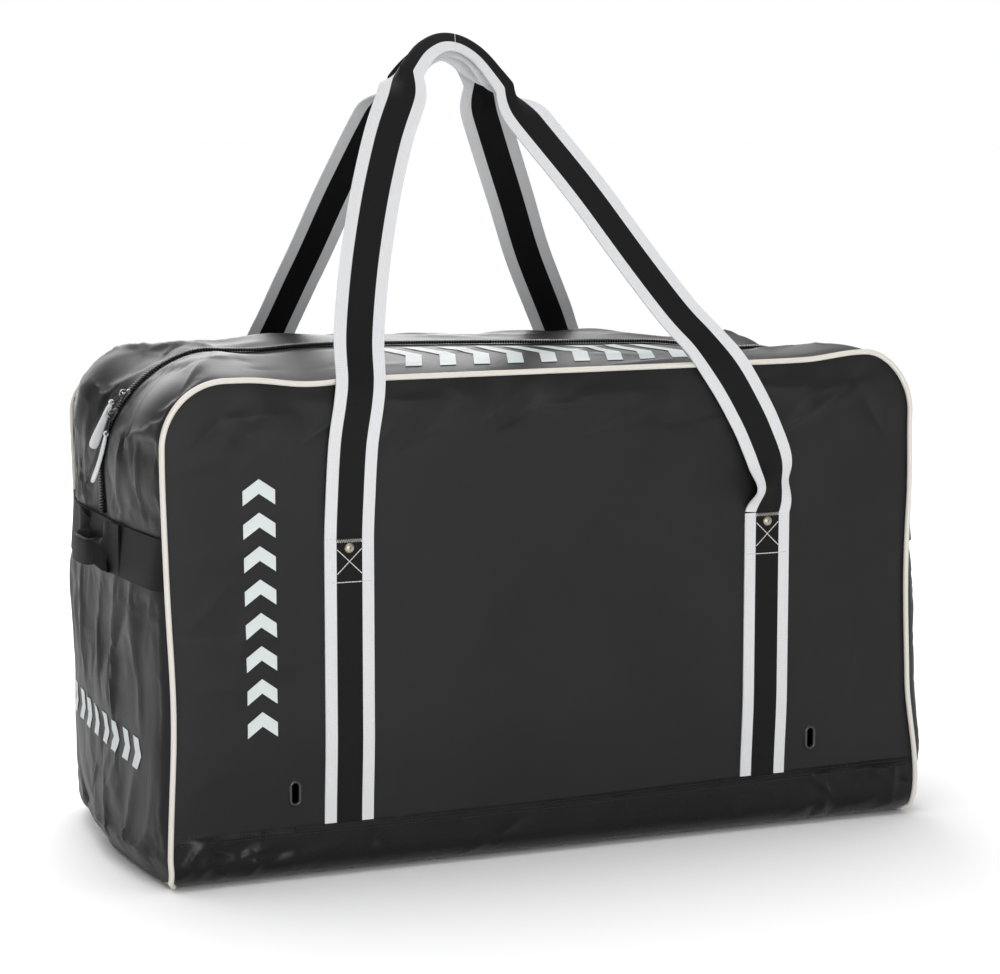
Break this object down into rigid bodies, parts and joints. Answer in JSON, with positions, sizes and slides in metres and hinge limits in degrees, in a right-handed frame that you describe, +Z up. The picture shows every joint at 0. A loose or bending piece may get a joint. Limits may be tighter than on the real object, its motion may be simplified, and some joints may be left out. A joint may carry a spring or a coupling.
{
  "type": "hockey equipment bag",
  "caption": "Soft upright carry bag for hockey kit, with a piped fabric shell, zipped top, coated base, long webbing carry handles and a grab handle at each end.",
  "frame": {"origin": "centre of the footprint, on the floor", "axes": "+X along the bag's length, +Y from the front panel to the rear panel, +Z up"},
  "size_m": [0.8812, 0.3788, 0.805],
  "materials": {
    "shell_fabric": "matte woven polyester with a slight sheen",
    "coated_base": "glossy coated tarpaulin",
    "piping": "smooth cream vinyl",
    "striped_webbing": "white webbing with a black centre stripe",
    "black_webbing": "matte woven webbing",
    "thread": "matte thread",
    "rivet_metal": "dull antique nickel",
    "eyelet_paint": "gloss black",
    "zip_coil": "moulded black",
    "zip_tape": "matte woven tape",
    "slider_paint": "gloss black",
    "slider_metal": "polished",
    "pull_plastic": "smooth white"
  },
  "bodies": {
    "bag": {"front_panel": "shell_fabric", "rear_panel": "shell_fabric", "left_end_panel": "shell_fabric", "right_end_panel": "shell_fabric", "corner_panel_left_front": "shell_fabric", "corner_panel_left_rear": "shell_fabric", "corner_panel_right_front": "shell_fabric", "corner_panel_right_rear": "shell_fabric", "base_panel": "coated_base", "front_piping": "piping", "rear_piping": "piping", "base_piping_left": "piping", "base_piping_right": "piping", "front_strap_left": "striped_webbing", "front_strap_right": "striped_webbing", "rear_strap_left": "striped_webbing", "rear_strap_right": "striped_webbing", "left_end_band": "black_webbing", "right_end_band": "black_webbing", "left_grab_handle_feet": "black_webbing", "right_grab_handle_feet": "black_webbing", "front_strap_stitching": "thread", "rear_strap_stitching": "thread", "front_rivets": "rivet_metal", "rear_rivets": "rivet_metal", "front_rivet_washers": "rivet_metal", "rear_rivet_washers": "rivet_metal", "front_eyelets": "eyelet_paint", "rear_eyelets": "eyelet_paint", "left_corner_zip_teeth": "zip_coil", "right_corner_zip_teeth": "zip_coil", "left_corner_zip_tape": "zip_tape", "right_corner_zip_tape": "zip_tape"},
    "front_carry_handle": {"front_handle": "striped_webbing", "front_grip_stitch": "thread"},
    "rear_carry_handle": {"rear_handle": "striped_webbing", "rear_grip_stitch": "thread"},
    "front_top_flap": {"top_flap_front": "shell_fabric", "front_zip_teeth": "zip_coil", "front_zip_tape": "zip_tape"},
    "rear_top_flap": {"top_flap_rear": "shell_fabric", "rear_zip_teeth": "zip_coil", "rear_zip_tape": "zip_tape"},
    "left_grab": {"left_grab_handle": "black_webbing"},
    "right_grab": {"right_grab_handle": "black_webbing"},
    "upper_zip_slider": {"upper_slider": "slider_paint", "upper_slider_bridge": "slider_metal"},
    "upper_zip_pull": {"upper_pull_link": "slider_paint", "upper_pull_tab": "pull_plastic"},
    "lower_zip_slider": {"lower_slider": "slider_paint", "lower_slider_bridge": "slider_metal"},
    "lower_zip_pull": {"lower_pull_link": "slider_paint", "lower_pull_tab": "pull_plastic"}
  },
  "joints": [
    {"name": "front_handle_fold", "type": "hinge", "parent": "bag", "child": "front_carry_handle", "pos_m": [0, -0.1851, 0.3315], "axis": [1, 0, 0], "range_deg": [0, 140]},
    {"name": "rear_handle_fold", "type": "hinge", "parent": "bag", "child": "rear_carry_handle", "pos_m": [0, 0.1851, 0.3315], "axis": [-1, 0, 0], "range_deg": [0, 140]},
    {"name": "front_flap_open", "type": "hinge", "parent": "bag", "child": "front_top_flap", "pos_m": [0, -0.184, 0.4865], "axis": [1, 0, 0], "range_deg": [0, 48]},
    {"name": "rear_flap_open", "type": "hinge", "parent": "bag", "child": "rear_top_flap", "pos_m": [0, 0.184, 0.4865], "axis": [-1, 0, 0], "range_deg": [0, 48]},
    {"name": "left_grab_swing", "type": "hinge", "parent": "bag", "child": "left_grab", "pos_m": [-0.42811, 0, 0.313], "axis": [0, 1, 0], "range_deg": [-25, 25]},
    {"name": "right_grab_swing", "type": "hinge", "parent": "bag", "child": "right_grab", "pos_m": [0.42811, 0, 0.313], "axis": [0, -1, 0], "range_deg": [-25, 25]},
    {"name": "upper_slider_travel", "type": "hinge", "parent": "bag", "child": "upper_zip_slider", "pos_m": [-0.294, 0, 0.38], "axis": [0, 1, 0], "range_deg": [0, 45]},
    {"name": "upper_pull_swing", "type": "hinge", "parent": "upper_zip_slider", "child": "upper_zip_pull", "pos_m": [-0.39233, 0, 0.45878], "axis": [0.2144, 0.961, 0.1749], "range_deg": [0, 60]},
    {"name": "lower_slider_travel", "type": "hinge", "parent": "bag", "child": "lower_zip_slider", "pos_m": [-0.294, 0, 0.38], "axis": [0, -1, 0], "range_deg": [0, 15]},
    {"name": "lower_pull_swing", "type": "hinge", "parent": "lower_zip_slider", "child": "lower_zip_pull", "pos_m": [-0.40515, 0, 0.43935], "axis": [-0.0744, 0.9712, -0.2266], "range_deg": [0, 60]}
  ]
}
